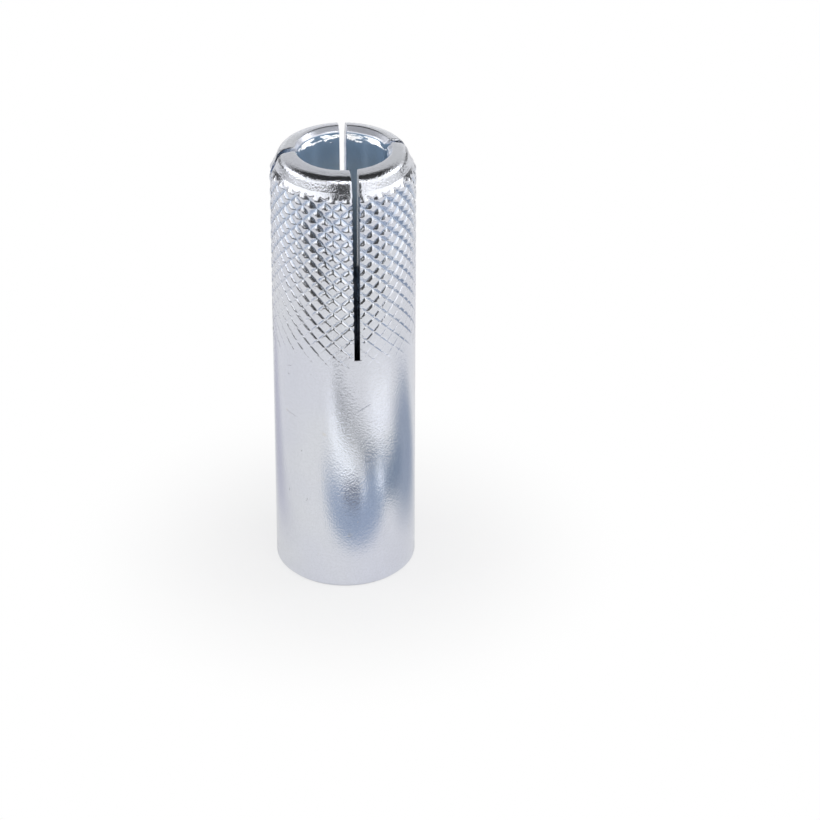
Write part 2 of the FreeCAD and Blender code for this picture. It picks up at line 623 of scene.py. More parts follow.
class Skin:
    """A mesh in the making, in millimetres."""

    def __init__(self) -> None:
        """Start with nothing."""
        self.points: list[np.ndarray] = []
        self.count = 0
        self.faces: list[tuple[int, ...]] = []

    def ring(self, points: np.ndarray) -> np.ndarray:
        """Add points.

        Args:
            points: One point a row.

        Returns:
            Their numbers.
        """
        numbers = np.arange(self.count, self.count + len(points))
        self.points.append(points)
        self.count += len(points)
        return numbers

    def face(self, *numbers: int) -> None:
        """Add a face, unless it has no area.

        Args:
            numbers: The point numbers of its corners. A corner that repeats the one before it
                is left out.
        """
        corners = [int(n) for n, before in zip(numbers, numbers[-1:] + numbers[:-1]) if n != before]
        if len(set(corners)) > 2:
            self.faces.append(tuple(corners))

    def strip(self, first: Sequence[int], second: Sequence[int]) -> None:
        """Join two rows of as many points by quads."""
        for corners in zip(first, first[1:], second[1:], second):
            self.face(*corners)

    def folded_strip(self, first: Sequence[int], second: Sequence[int], falling: Sequence[bool]) -> None:
        """Join two rows by triangles, cut along the diagonal that is said.

        Args:
            first: The lower row's point numbers.
            second: The upper row's point numbers.
            falling: Whether a quad is cut from its upper left to its lower right corner.
        """
        for a, b, c, d, fall in zip(first, first[1:], second[1:], second, falling):
            triangles = ((a, b, d), (b, c, d)) if fall else ((a, b, c), (a, c, d))
            for triangle in triangles:
                self.face(*triangle)

    def zipper(
        self,
        first: Sequence[int],
        first_keys: Sequence[float],
        second: Sequence[int],
        second_keys: Sequence[float],
        flipped: bool = False,
    ) -> None:
        """Join two rows of unlike numbers of points by triangles.

        Args:
            first: The point numbers of the first row.
            first_keys: Where its points lie along the row.
            second: The point numbers of the second row.
            second_keys: Where its points lie along the row.
            flipped: Whether the faces look the other way.
        """
        i, j = 0, 0
        while i < len(first) - 1 or j < len(second) - 1:
            ended = j == len(second) - 1
            if ended or (i < len(first) - 1 and first_keys[i + 1] <= second_keys[j + 1]):
                corners = (first[i], first[i + 1], second[j])
                i += 1
            else:
                corners = (first[i], second[j + 1], second[j])
                j += 1
            self.face(*(corners[::-1] if flipped else corners))

    def piece(self, name: str, sharp_angle: float) -> bpy.types.Object:
        """Make the Blender object.

        Args:
            name: The piece's name.
            sharp_angle: Edges that turn by more than this stay sharp.

        Returns:
            The object, linked to the scene.
        """
        mesh = bpy.data.meshes.new(name)
        mesh.from_pydata((np.concatenate(self.points) * MILLIMETRE).tolist(), [], self.faces)
        mesh.validate()
        mesh.shade_smooth()
        mesh.set_sharp_from_angle(angle=math.radians(sharp_angle))
        return linked(name, mesh)


def linked(name: str, data: bpy.types.ID) -> bpy.types.Object:
    """Make an object of a mesh, a lamp or a camera and link it to the scene.

    Args:
        name: The object's name.
        data: What it holds.

    Returns:
        The object.
    """
    item = bpy.data.objects.new(name, data)
    bpy.context.scene.collection.objects.link(item)
    return item


def arc_outline(centre: Corner, radius: float, start: float, end: float, steps: int) -> list[Corner]:
    """Give points of an arc in an outline.

    Args:
        centre: The arc's centre.
        radius: The arc's radius.
        start: The angle of its first point, from straight out towards up.
        end: The angle of its last point.
        steps: How many equal steps it is cut into.

    Returns:
        The points.
    """
    angles = [math.radians(start + (end - start) * step / steps) for step in range(steps + 1)]
    return [(centre[0] + radius * math.cos(a), centre[1] + radius * math.sin(a)) for a in angles]


def evenly(start: Corner, end: Corner, steps: int) -> list[Corner]:
    """Give the points of a straight run of an outline, the start left out."""
    return [tuple(np.add(start, np.subtract(end, start) * step / steps)) for step in range(1, steps + 1)]


# The anchor


@dataclass
class Knurl:
    """Two crossed sets of rolled grooves, which fade out down the barrel."""

    start: float
    end: float
    barrel_radius: float
    crest_radius: float
    fade: float = 25.0
    diamonds_round: int = 28
    diamond_height: float = 2.24
    depth: float = 0.36
    flank_slope: float = 0.7
    land_round: float = 0.035
    cells_a_diamond: int = 12
    lay_depth: dict[Lay, float] = field(default_factory=lambda: {Lay.LEFT: 1.0, Lay.RIGHT: 0.94})
    lay_reach: dict[Lay, float] = field(default_factory=lambda: {Lay.LEFT: 3.5, Lay.RIGHT: 2.0})
    lead_in: float = 0.8
    unevenness: float = 0.05
    uneven_grooves: int = 512
    seed: int = 7

    def rows(self) -> list[float]:
        """Give the heights of the mesh's rows over the knurl."""
        step = self.diamond_height / self.cells_a_diamond
        return list(np.arange(self.start, self.end, step))

    def groove(self, lay: Lay, turns: np.ndarray, height: float) -> np.ndarray:
        """Give how deep one set of grooves cuts at a height.

        Args:
            lay: Which set.
            turns: Places round the barrel, as shares of a full turn.
            height: The height.

        Returns:
            The depth at each place.
        """
        above_start = height - self.start
        across = turns * self.diamonds_round + lay.value * above_start / self.diamond_height
        number = np.floor(across)
        width = self.diamond_height / math.sqrt(2)
        off = np.abs(across - number - 0.5) * width
        draw = np.random.default_rng(self.seed + lay.value).normal(0, self.unevenness, self.uneven_grooves)
        share = self.lay_depth[lay] * (1 + draw[number.astype(int) % self.uneven_grooves])
        grown = np.clip((above_start + self.lay_reach[lay]) / self.fade, 0, 1)
        lead = np.clip(above_start / self.lead_in, 0, 1)
        return self.depth * share * grown * lead - self.flank_slope * off

    def radii(self, turns: np.ndarray, height: float) -> np.ndarray:
        """Give the knurled surface's radius at a height.

        Args:
            turns: Places round the barrel, as shares of a full turn.
            height: The height.

        Returns:
            The radius at each place.
        """
        grown = min(1.0, (height - self.start) / self.fade)
        crest = self.barrel_radius + (self.crest_radius - self.barrel_radius) * grown
        cut = np.maximum(*(self.groove(lay, turns, height) for lay in Lay))
        soft = self.land_round * grown
        return crest - (cut + np.sqrt(cut * cut + soft * soft)) / 2


@dataclass
class Thread:
    """The metric thread in the mouth, with its countersink and its runout."""

    length: float
    crest_radius: float
    root_radius: float = 8.0
    pitch: float = 2.0
    flank_angle: float = 30.0
    root_flat: float = 0.25
    countersink_radius: float = 8.45
    columns: int = 120
    runout: float = 2.5

    def outline(self) -> list[tuple[float, float]]:
        """Give one pitch of the thread's section.

        Returns:
            Pairs of a place along the axis and a share of the thread's depth.
        """
        flank = (self.root_radius - self.crest_radius) * math.tan(math.radians(self.flank_angle))
        flat = self.root_flat / 2
        crest = self.pitch / 2
        near, far = flat + flank, self.pitch - flat - flank
        places = (-flat, 0, flat, (flat + near) / 2, near, crest, far, self.pitch - flat - flank / 2)
        rises = [(near - abs((place + crest) % self.pitch - crest)) / flank for place in places]
        return [(place, min(1, max(0, rise))) for place, rise in zip(places, rises)]

    def build(self, skin: Skin) -> tuple[np.ndarray, np.ndarray]:
        """Cut the thread from its inner end to the mouth.

        Args:
            skin: The mesh that takes it.

        Returns:
            The point numbers of its inner and of its outer ring.
        """
        angles = full_turn(self.columns)
        top = skin.ring(level_ring(self.crest_radius, self.length, angles))
        bottom = skin.ring(level_ring(self.countersink_radius, 0, angles))
        section = self.outline()
        turns = math.ceil(self.length / self.pitch) + 1
        rows = [(turn * self.pitch + place, share) for turn in range(turns + 1) for place, share in section]
        numbers = np.array([self.row(skin, down, share, top, bottom) for down, share in rows])
        for upper, lower in zip(range(len(rows)), range(1, len(rows))):
            last = [upper - len(section), lower - len(section)]
            ends = [numbers[row, 0] if row >= 0 else top[0] for row in last]
            skin.strip([*numbers[upper], ends[0]], [*numbers[lower], ends[1]])
        return top, bottom

    def row(self, skin: Skin, down: float, share: float, top: np.ndarray, bottom: np.ndarray) -> list[int]:
        """Add one helical row of points, which stops at the level ends.

        Args:
            skin: The mesh that takes it.
            down: How far below the inner end the row starts.
            share: The row's share of the thread's depth.
            top: The inner end's ring.
            bottom: The mouth's ring.

        Returns:
            A point number for each column.
        """
        numbers = []
        for column in range(self.columns):
            turn = column / self.columns
            height = self.length - down + self.pitch * turn
            if height >= self.length - CLOSE:
                numbers.append(top[column])
            elif height <= CLOSE:
                numbers.append(bottom[column])
            else:
                fade = min(1.0, (self.length - height) / self.runout)
                cut = self.crest_radius + (self.root_radius - self.crest_radius) * share * fade
                radius = max(cut, self.countersink_radius - height)
                angle = 2 * math.pi * turn
                point = (radius * math.cos(angle), radius * math.sin(angle), height)
                numbers.append(skin.ring(np.array([point]))[0])
        return numbers


@dataclass(frozen=True)
class Slot:
    """One slot: half of a saw cut, which passes a little off the axis and widens upwards."""

    direction: float
    offset: float
    low: float = 40.0
    high: float = 65.0
    low_half_width: float = 0.405
    high_half_width: float = 0.515

    def edge(
        self, side: int, radius: np.ndarray | float, height: np.ndarray | float
    ) -> np.ndarray | float:
        """Give the angle of one of its edges.

        Args:
            side: -1 for the edge at the lesser angle and 1 for the other.
            radius: The distance from the axis.
            height: The height.

        Returns:
            The angle.
        """
        half = np.interp(height, (self.low, self.high), (self.low_half_width, self.high_half_width))
        return self.direction + np.degrees(np.arcsin((self.offset + side * half) / radius))


@dataclass(frozen=True)
class Easing:
    """How the shell's crisp edges are eased: where that starts and ends, and what it takes off."""

    reach: float = 0.1
    inset: float = 0.02
    drop: float = 0.03
    mouth_end: float = 0.15
    chamfer_end: float = 0.12
    neck_foot: float = 0.05
    slots: float = 0.06


@dataclass(frozen=True)
class RowCounts:
    """How many rows of the mesh each run of the shell's section has.

    One more row holds the neck's foot crisp. It lies where the first of neck_foot rows would.
    """

    mouth_edge: int = 2
    barrel: int = 10
    neck: int = 4
    neck_foot: int = 24
    rim: int = 14
    crown: int = 3
    crown_lip: int = 3
    chamfer: int = 4
    bore: int = 14
    taper: int = 8
    taper_foot: int = 2
    chamber: int = 4


@dataclass
class AnchorShell:
    """The shell: barrel, knurl, head, bore and thread in one skin, sawn into four legs.

    A saw cut is a pair of its turn from +X and how far it passes to the left of the axis. The
    rim's inner chamfer is a pair of its width and its height.
    """

    node: str = "anchor_shell"
    slot_name: str = "zinc_plated_shell"
    barrel_radius: float = 9.95
    mouth_edge: float = 0.45
    knurl_start: float = 35.9
    crest_inset: float = 0.04
    shoulder_low: Corner = (10.0, 61.85)
    neck_foot: Corner = (9.35, 63.0)
    neck_slope: float = 20.0
    rim_radius: float = 9.09
    rim_round: float = 1.5
    crown_radius: float = 7.2
    crown_slope: float = 9.0
    bore_radius: float = 6.2
    rim_chamfer: tuple[float, float] = (0.45, 0.75)
    rim_drift: float = 0.3
    rim_drift_angle: float = 52.0
    rim_drift_end: float = 8.0
    taper_end: float = 42.0
    taper_start: float = 34.0
    chamber_radius: float = 7.2
    thread_length: float = 27.0
    tap_radius: float = 7.0
    saw_cuts: Pairs = ((-0.4, 1.0), (85.3, -0.73))
    slot_length: float = 27.7
    slot_floor_fall: float = 2.2
    slot_columns: int = 5
    column_gap: float = 0.35
    waviness: float = 0.012
    wave_scale: float = 0.55
    wavy_length: float = 8.0
    flat_top: float = 0.01
    height_waves: tuple[float, float, float] = (40.0, 0.0, 0.0)
    easing: Easing = Easing()
    row_counts: RowCounts = RowCounts()
    sharp_angle: float = 62.0

    def __post_init__(self) -> None:
        """Take the length and the crests from the frame, and set out the slots and the columns."""
        low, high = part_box(self.node)
        self.length = high.z / MILLIMETRE
        crest = high.x / MILLIMETRE - self.crest_inset
        self.knurl = Knurl(self.knurl_start, self.neck_foot[1], self.barrel_radius, crest)
        self.thread = Thread(self.thread_length, self.tap_radius)
        self.slot_floor = self.length - self.slot_length
        self.inner_floor = self.slot_floor - self.slot_floor_fall
        slots = [Slot(turn % 360, offset) for turn, offset in self.saw_cuts]
        slots += [Slot((turn + 180) % 360, -offset) for turn, offset in self.saw_cuts]
        self.slots = sorted(slots, key=lambda slot: slot.direction)
        first = self.slots[0]
        self.next_slots = self.slots[1:] + [replace(first, direction=first.direction + 360)]
        self.columns, self.gaps = self.set_columns()
        self.leg_ends = [gap[0] for gap in self.gaps[1:]] + [len(self.columns)]

    def set_columns(self) -> tuple[np.ndarray, list[np.ndarray]]:
        """Set out the mesh's columns: a few across each slot, and evenly spaced for the knurl.

        Returns:
            The columns' angles, and the columns of each slot, its two edges with them.
        """
        cells = self.knurl.diamonds_round * self.knurl.cells_a_diamond
        even = np.arange(2 * cells) * 360 / cells
        radii = np.repeat([self.neck_foot[0], self.knurl.crest_radius], 2)
        heights = np.array([self.slot_floor, self.length] * 2)
        middle = (self.slot_floor + self.length) / 2
        columns, gaps = [], []
        for slot, after in zip(self.slots, self.next_slots):
            edges = [slot.edge(side, self.barrel_radius, middle) for side in (-1, 1)]
            start = slot.edge(1, radii, heights).max() + self.column_gap
            end = after.edge(-1, radii, heights).min() - self.column_gap
            gaps.append(np.arange(len(columns), len(columns) + self.slot_columns))
            columns += [*np.linspace(*edges, self.slot_columns), *even[(even > start) & (even < end)]]
        return np.array(columns), gaps

    def outline(self) -> list[Corner]:
        """Give the section, from the mouth's outer edge over the rim to the thread's inner end."""
        return self.outer_outline() + self.head_outline() + self.inner_outline()

    def outer_outline(self) -> list[Corner]:
        """Give the section's outside, from the mouth to the knurl's last row.

        Returns:
            The points.
        """
        edge, radius, easing, counts = self.mouth_edge, self.barrel_radius, self.easing, self.row_counts
        points = [(radius - edge, 0.0)]
        points += evenly(points[-1], (radius - easing.reach, edge - easing.reach), counts.mouth_edge)
        points += [(radius - easing.inset, edge + easing.inset), (radius, edge + easing.mouth_end)]
        points += evenly(points[-1], (radius, self.knurl_start), counts.barrel)
        heights = self.knurl.rows()[1:] + [self.slot_floor, self.neck_foot[1] - easing.neck_foot]
        return points + [(radius, height) for height in sorted(heights)]

    def head_outline(self) -> list[Corner]:
        """Give the section's head, from the neck's foot over the rim to the chamfer's end.

        Returns:
            The points.
        """
        easing, counts, length = self.easing, self.row_counts, self.length
        chamfer_width, chamfer_height = self.rim_chamfer
        lip = self.bore_radius + chamfer_width
        foot = length - chamfer_height
        rim = self.rim_outline()
        points = [self.neck_foot, evenly(self.neck_foot, rim[0], counts.neck_foot)[0]]
        points += evenly(self.neck_foot, rim[0], counts.neck) + rim[1:]
        points += evenly(points[-1], (self.crown_radius, length), counts.crown)
        points += evenly(points[-1], (lip + easing.reach, length), counts.crown_lip)
        points += [(lip + easing.inset, length - easing.drop)]
        chamfer_end = (self.bore_radius + easing.inset, foot + easing.drop)
        points += evenly(points[-1], chamfer_end, counts.chamfer)
        return points + [(self.bore_radius, foot - easing.chamfer_end)]

    def inner_outline(self) -> list[Corner]:
        """Give the section's inside, from below the chamfer to the thread's inner end.

        Returns:
            The points.
        """
        counts = self.row_counts
        bore, chamber = self.bore_radius, self.chamber_radius
        top = self.length - self.rim_chamfer[1] - self.easing.chamfer_end
        points = evenly((bore, top), (bore, self.taper_end), counts.bore)
        slope = (chamber - bore) / (self.taper_end - self.taper_start)
        at_floor = bore + (self.taper_end - self.inner_floor) * slope
        points += evenly(points[-1], (at_floor, self.inner_floor), counts.taper)
        points += evenly(points[-1], (chamber, self.taper_start), counts.taper_foot)
        return points + evenly(points[-1], (chamber, self.thread_length), counts.chamber)

    def rim_outline(self) -> list[Corner]:
        """Give the rim's round, from the neck's cone to the crown that slopes up to the bore.

        Returns:
            The points.
        """
        slope = math.radians(self.crown_slope)
        centre_radius = self.rim_radius - self.rim_round
        crown_width = centre_radius + self.rim_round * math.sin(slope) - self.crown_radius
        drop = crown_width * math.tan(slope) + self.rim_round * math.cos(slope)
        centre = (centre_radius, self.length - drop)
        end = 90 - self.crown_slope
        return arc_outline(centre, self.rim_round, self.neck_slope, end, self.row_counts.rim)

    def shoulder_radius(self, height: float) -> float:
        """Give the radius of the cone that ends the knurl."""
        (wide, low), (narrow, high) = self.shoulder_low, self.neck_foot
        return wide + (narrow - wide) * (height - low) / (high - low)

    def grid(self) -> tuple[np.ndarray, np.ndarray]:
        """Set every point of the skin out, by row and column.

        Returns:
            The radius and the height of every point.
        """
        outline = self.outline()
        radii, heights = [], []
        head_row = outline.index(self.neck_foot)
        for row, (radius, height) in enumerate(outline):
            around = np.full(len(self.columns), radius)
            level = np.full(len(self.columns), height)
            if row < head_row and height > self.knurl_start:
                turns = self.angles(around, level) / 360
                around = np.minimum(self.knurl.radii(turns, height), self.shoulder_radius(height))
            radii.append(around)
            heights.append(level)
        radii, heights = np.array(radii), np.array(heights)
        self.drift_rim(radii[head_row:], heights[head_row:])
        self.ripple_head(radii[head_row:], heights[head_row:])
        self.soften_slot_edges(outline, radii, heights)
        return radii, heights

    def drift_rim(self, radii: np.ndarray, heights: np.ndarray) -> None:
        """Set the rim's inner chamfer off centre.

        Args:
            radii: The radius of every point from the neck's foot on, which is changed.
            heights: Their heights.
        """
        away = np.cos(np.radians(self.columns - self.rim_drift_angle))
        ends = (self.bore_radius, self.bore_radius + self.rim_chamfer[0], self.rim_drift_end)
        for row in np.flatnonzero(heights[:, 0] > self.length - self.rim_chamfer[1]):
            radii[row] += self.rim_drift * away * np.interp(radii[row, 0], ends, (0, 1, 0))

    def ripple_head(self, radii: np.ndarray, heights: np.ndarray) -> None:
        """Make the head a little uneven, the height of its flat top left as it is.

        Args:
            radii: The radius of every point from the neck's foot on, which is changed.
            heights: Their heights, which are changed.
        """
        turns = np.radians(self.columns)
        for row, column in np.argwhere(heights >= self.length - self.wavy_length):
            radius, height, turn = radii[row, column], heights[row, column], turns[column]
            place = Vector((radius * math.cos(turn), radius * math.sin(turn), height)) * self.wave_scale
            radii[row, column] += self.waviness * noise.noise(place)
            if height < self.length - self.flat_top:
                heights[row, column] += self.waviness * noise.noise(place + Vector(self.height_waves))

    def soften_slot_edges(self, outline: list[Corner], radii: np.ndarray, heights: np.ndarray) -> None:
        """Draw the points on the slots' edges in, so that the edges are slightly round.

        Args:
            outline: The section.
            radii: The radius of every point, which is changed.
            heights: The height of every point, which is changed.
        """
        on_edge = [column for gap in self.gaps for column in (gap[0], gap[-1])]
        for row in range(1, len(outline) - 1):
            if heights[row, 0] <= self.slot_floor + CLOSE:
                continue
            run = np.subtract(outline[row + 1], outline[row - 1])
            out = np.array([run[1], -run[0]]) / np.hypot(*run)
            radii[row, on_edge] -= self.easing.slots * out[0]
            heights[row, on_edge] -= self.easing.slots * out[1]

    def angles(self, radii: np.ndarray, heights: np.ndarray) -> np.ndarray:
        """Place the columns of a row, so that the slots' edges lie where the saw cut.

        On the knurl the columns between the slots keep their even places, and further in they
        share out the room between the slots.

        Args:
            radii: The radius of every point in the row.
            heights: The height of every point in the row.

        Returns:
            The angle of every point.
        """
        angles = self.columns.copy()
        for gap, end, slot, after in zip(self.gaps, self.leg_ends, self.slots, self.next_slots):
            sides = ((-1, gap[0]), (1, gap[-1]))
            edges = [slot.edge(side, radii[column], heights[column]) for side, column in sides]
            angles[gap] = np.linspace(*edges, len(gap))
            leg = np.arange(gap[-1] + 1, end)
            level, outer = heights[leg], self.neck_foot[0]
            inner = np.minimum(radii[leg], outer)
            share = self.columns[leg] - slot.edge(1, outer, level)
            share /= after.edge(-1, outer, level) - slot.edge(1, outer, level)
            near, far = slot.edge(1, inner, level), after.edge(-1, inner, level)
            angles[leg] = near + (far - near) * share
        return angles

    def build(self) -> bpy.types.Object:
        """Make the shell's mesh.

        Returns:
            The piece.
        """
        skin = Skin()
        radii, heights = self.grid()
        turns = np.array([self.angles(around, height) for around, height in zip(radii, heights)])
        rows = [skin.ring(level_ring(*row)) for row in zip(radii, heights, np.radians(turns))]
        outer = int(np.flatnonzero(np.isclose(heights[:, 0], self.slot_floor))[0])
        inner = int(np.flatnonzero(np.isclose(heights[:, 0], self.inner_floor))[-1])
        for row, (here, there) in enumerate(zip(rows, rows[1:])):
            falling = self.falling(radii[row:row + 2], heights[row:row + 2], turns[row:row + 2])
            for leg in self.stretches(outer <= row < inner):
                skin.folded_strip(here[leg], there[leg], falling[leg])
        for gap in self.gaps:
            skin.strip(rows[outer][gap], rows[inner][gap])
            self.walls(skin, np.array(rows)[outer:inner + 1], heights[outer:inner + 1], gap)
        self.join_thread(skin, rows, turns[-1], turns[0])
        return skin.piece("shell_skin", self.sharp_angle)

    def falling(self, radii: np.ndarray, heights: np.ndarray, turns: np.ndarray) -> np.ndarray:
        """Tell which quads between two rows are cut from their upper left to their lower right.

        On the knurl it is the diagonal that lies closer to the grooves and the lands.

        Args:
            radii: The radius of every point of the two rows.
            heights: Their heights.
            turns: Their angles.

        Returns:
            A truth for each column, for the quad on its right.
        """
        after = np.roll(radii, -1, axis=1)
        rising, falling = (radii[0] + after[1]) / 2, (after[0] + radii[1]) / 2
        height = heights[:, 0].mean()
        if not self.knurl_start < height < self.neck_foot[1] or radii[0, 0] < self.chamber_radius:
            return np.zeros(len(rising), bool)
        middle = (turns + np.append(turns[:, 1:], turns[:, :1] + 360, axis=1)).mean(axis=0) / 2
        true = np.minimum(self.knurl.radii(middle / 360, height), self.shoulder_radius(height))
        return np.abs(falling - true) < np.abs(rising - true)

    def stretches(self, sawn: bool) -> list[np.ndarray]:
        """Give the columns of each unbroken stretch of a row.

        Args:
            sawn: Whether the slots part the row.

        Returns:
            The columns of each leg, or else of the whole ring, which ends where it starts.
        """
        count = len(self.columns)
        if not sawn:
            return [np.arange(count + 1) % count]
        return [np.arange(gap[-1], end + 1) % count for gap, end in zip(self.gaps, self.leg_ends)]

    def walls(self, skin: Skin, rows: np.ndarray, heights: np.ndarray, gap: np.ndarray) -> None:
        """Close the two walls of a slot.

        Args:
            skin: The mesh that takes them.
            rows: The point numbers from the slot's outer floor over the rim to its inner floor.
            heights: Their heights.
            gap: The slot's columns.
        """
        top = int(np.argmax(heights[:, 0]))
        up, down = slice(0, top + 1), slice(len(rows) - 1, top - 1, -1)
        for column, flipped in ((gap[-1], False), (gap[0], True)):
            outer_keys, inner_keys = (np.maximum.accumulate(heights[way, column]) for way in (up, down))
            skin.zipper(rows[up, column], outer_keys, rows[down, column], inner_keys, flipped)

    def join_thread(
        self, skin: Skin, rows: list[np.ndarray], chamber_angles: np.ndarray, mouth_angles: np.ndarray
    ) -> None:
        """Cut the thread and join its ends to the chamber and to the mouth's face.

        Args:
            skin: The mesh that takes it.
            rows: The point numbers of every row of the grid.
            chamber_angles: The angles of the last row's points.
            mouth_angles: The angles of the first row's points.
        """
        top, bottom = self.thread.build(skin)
        step = 360 / self.thread.columns
        columns = int(self.columns[0] // step) + np.arange(self.thread.columns + 1)
        around, coarse = columns % self.thread.columns, columns * step
        chamber, mouth = (np.append(row, row[0]) for row in (rows[-1], rows[0]))
        chamber_keys, mouth_keys = (np.append(a, a[0] + 360) for a in (chamber_angles, mouth_angles))
        skin.zipper(chamber, chamber_keys, top[around], coarse)
        skin.zipper(bottom[around], coarse, mouth, mouth_keys)

    def finish(self) -> ZincPlate:
        """Give the shell's plating, with the scratches that the barrel bears.

        Returns:
            The finish.
        """
        marks = (
            Scratch(angle=-85, height=29.6, length=2.4, lean=27),
            Scratch(angle=-149, height=27.1, length=2.4, lean=-8, width=0.05),
            Scratch(angle=-150.5, height=34.7, length=1.0, lean=20, width=0.09),
            Scratch(angle=-151.4, height=33.3, length=0.5, lean=0, width=0.1),
            Scratch(angle=-153.5, height=14.2, length=0.7, lean=80, width=0.1),
            Scratch(angle=-133.9, height=13.9, length=0.8, lean=70, width=0.1),
            Scratch(angle=20, height=18, length=3.2, lean=52, width=0.05),
            Scratch(angle=130, height=12, length=2.2, lean=15, width=0.06),
        )
        return ZincPlate(self.slot_name, scratches=marks, scratched_radius=self.barrel_radius)


@dataclass
class ExpanderPlug:
    """The tapered plug inside the shell, with a small dimple in its nose.

    The points of an eased edge are pairs of how far each lies inside the radius and how far
    from the end face. Those of the dimple are pairs of a share of its radius and a depth.
    """

    node: str = "expander_plug"
    slot_name: str = "zinc_plated_plug"
    radius: float = 6.85
    back_ring: float = 3.4
    nose_edge: float = 0.8
    nose_ring: float = 2.8
    cone_start: float = 36.0
    nose_radius: float = 5.95
    dimple: float = 1.4
    dimple_points: Pairs = ((0.8, 0.12), (0.3, 0.3))
    back_easing: Pairs = ((0.55, 0.0), (0.35, 0.08), (0.06, 0.32), (0.0, 0.52))
    nose_easing: Pairs = ((0.68, 0.1), (0.9, 0.0))
    barrel_rows: int = 5
    cone_rows: int = 4
    nose_rows: int = 2
    columns: int = 96
    sharp_angle: float = 50.0

    def outline(self) -> list[Corner]:
        """Give the section, from the middle of the back face to the middle of the nose.

        Returns:
            The points.
        """
        low, high = (corner.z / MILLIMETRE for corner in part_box(self.node))
        nose = self.nose_radius
        eased, end = ((nose - inset, high - drop) for inset, drop in self.nose_easing)
        points = [(self.dimple, low), (self.back_ring, low)]
        points += [(self.radius - inset, low + rise) for inset, rise in self.back_easing]
        points += evenly(points[-1], (self.radius, self.cone_start), self.barrel_rows)
        points += evenly(points[-1], (nose, high - self.nose_edge), self.cone_rows)
        points += evenly(points[-1], eased, self.nose_rows)
        points += [end, (self.nose_ring, high), (self.dimple, high)]
        return points + [(self.dimple * share, high - depth) for share, depth in self.dimple_points]

    def build(self) -> bpy.types.Object:
        """Make the plug's mesh.

        Returns:
            The piece.
        """
        skin = Skin()
        angles = full_turn(self.columns)
        rows = [skin.ring(level_ring(radius, height, angles)) for radius, height in self.outline()]
        for here, there in zip(rows, rows[1:]):
            skin.strip(np.append(here, here[0]), np.append(there, there[0]))
        skin.face(*rows[0][::-1])
        skin.face(*rows[-1])
        return skin.piece("plug_skin", self.sharp_angle)

    def finish(self) -> ZincPlate:
        """Give the plug's finish, much darker and duller than the shell's: its dark colour is painted shade,
        for the plug that sits deep in the shell.

        The plate's bore is the middle of the plug, and its head and knurl lie off the plug.

        Returns:
            The finish.
        """
        # Painted shade: the plug's colours are near black, for the shade inside the shell
        dark, dull = (0.05, 0.055, 0.075, 1.0), (0.035, 0.04, 0.055, 1.0)
        return ZincPlate(
            self.slot_name, metal=dark, lilac=dull, blue=dull, ochre=dark, roughness=0.38,
            bore_radius=(0.5, 0.3), head=(80.0, 80.2), knurl=(80.0, 92.0),
        )


# The studio


def mirrored_card(name: str, paper: CardPaper, placement: Matrix) -> bpy.types.Object:
    """Make a flat card, two units wide before its placement, that only reflections show.

    Args:
        name: The card's name.
        paper: What it is made of.
        placement: Its place, turn and half sizes, in metres.

    Returns:
        The card.
    """
    mesh = bpy.data.meshes.new(name)
    mesh.from_pydata([(-1, -1, 0), (1, -1, 0), (1, 1, 0), (-1, 1, 0)], [], [(0, 1, 2, 3)])
    mesh.materials.append(paper.material())
    card = linked(name, mesh)
    card.matrix_world = placement
    card.visible_camera = False
    card.visible_diffuse = False
    card.visible_shadow = False
    card.visible_transmission = False
    card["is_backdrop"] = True
    return card


@dataclass
class Card:
    """A flat card that shapes what the metal reflects. It is hidden from the camera.

    Its azimuth runs from the camera's side, -Y, towards +X.
    """

    name: str
    azimuth: float
    elevation: float
    distance: float
    width: float
    height: float
    brightness: float

    def place(self, aim: Vector) -> Matrix:
        """Turn the card to face a point.

        Args:
            aim: The point.

        Returns:
            The card's placement, in metres.
        """
        turn, rise = math.radians(self.azimuth), math.radians(self.elevation)
        away = Vector((math.sin(turn) * math.cos(rise), -math.cos(turn) * math.cos(rise), math.sin(rise)))
        spot = aim + away * self.distance * MILLIMETRE
        return Matrix.Translation(spot) @ away.to_track_quat("Z", "Y").to_matrix().to_4x4()

    def build(self, aim: Vector) -> bpy.types.Object:
        """Make the card as an object of the stage.

        Args:
            aim: The point that it faces.

        Returns:
            The card.
        """
        grey = (self.brightness, self.brightness, self.brightness, 1.0)
        half = (self.width / 2 * MILLIMETRE, self.height / 2 * MILLIMETRE, 1, 1)
        return mirrored_card(self.name, CardPaper(self.name, grey), self.place(aim) @ Matrix.Diagonal(half))


@dataclass
class SoftBox(Card):
    """An area lamp, with the brightness that its face shows."""

    def build(self, aim: Vector) -> bpy.types.Object:
        """Make the lamp.

        Args:
            aim: The point that it faces.

        Returns:
            The lamp.
        """
        lamp = bpy.data.lights.new(self.name, "AREA")
        lamp.shape = "RECTANGLE"
        lamp.size = self.width * MILLIMETRE
        lamp.size_y = self.height * MILLIMETRE
        lamp.energy = self.brightness * lamp.size * lamp.size_y * math.pi
        holder = linked(self.name, lamp)
        holder.matrix_world = self.place(aim)
        holder.visible_camera = False
        return holder


@dataclass
class FloorTone:
    """A soft oval tone on the floor, which only the metal's reflections show."""

    name: str
    place: tuple[float, float]
    half_sizes: tuple[float, float]
    turn: float
    colour: Colour
    edge: float = 0.6
    lift: float = 0.03

    def build(self, layer: int) -> bpy.types.Object:
        """Lay the tone above the ones before it.

        Args:
            layer: How many tones lie below it.

        Returns:
            The tone, as an object of the stage.
        """
        spot = Vector((*self.place, self.lift * (layer + 1))) * MILLIMETRE
        turn = Matrix.Rotation(math.radians(self.turn), 4, "Z")
        half = Matrix.Diagonal([*(size * MILLIMETRE for size in self.half_sizes), 1, 1])
        paper = CardPaper(self.name, self.colour, self.edge)
        return mirrored_card(self.name, paper, Matrix.Translation(spot) @ turn @ half)


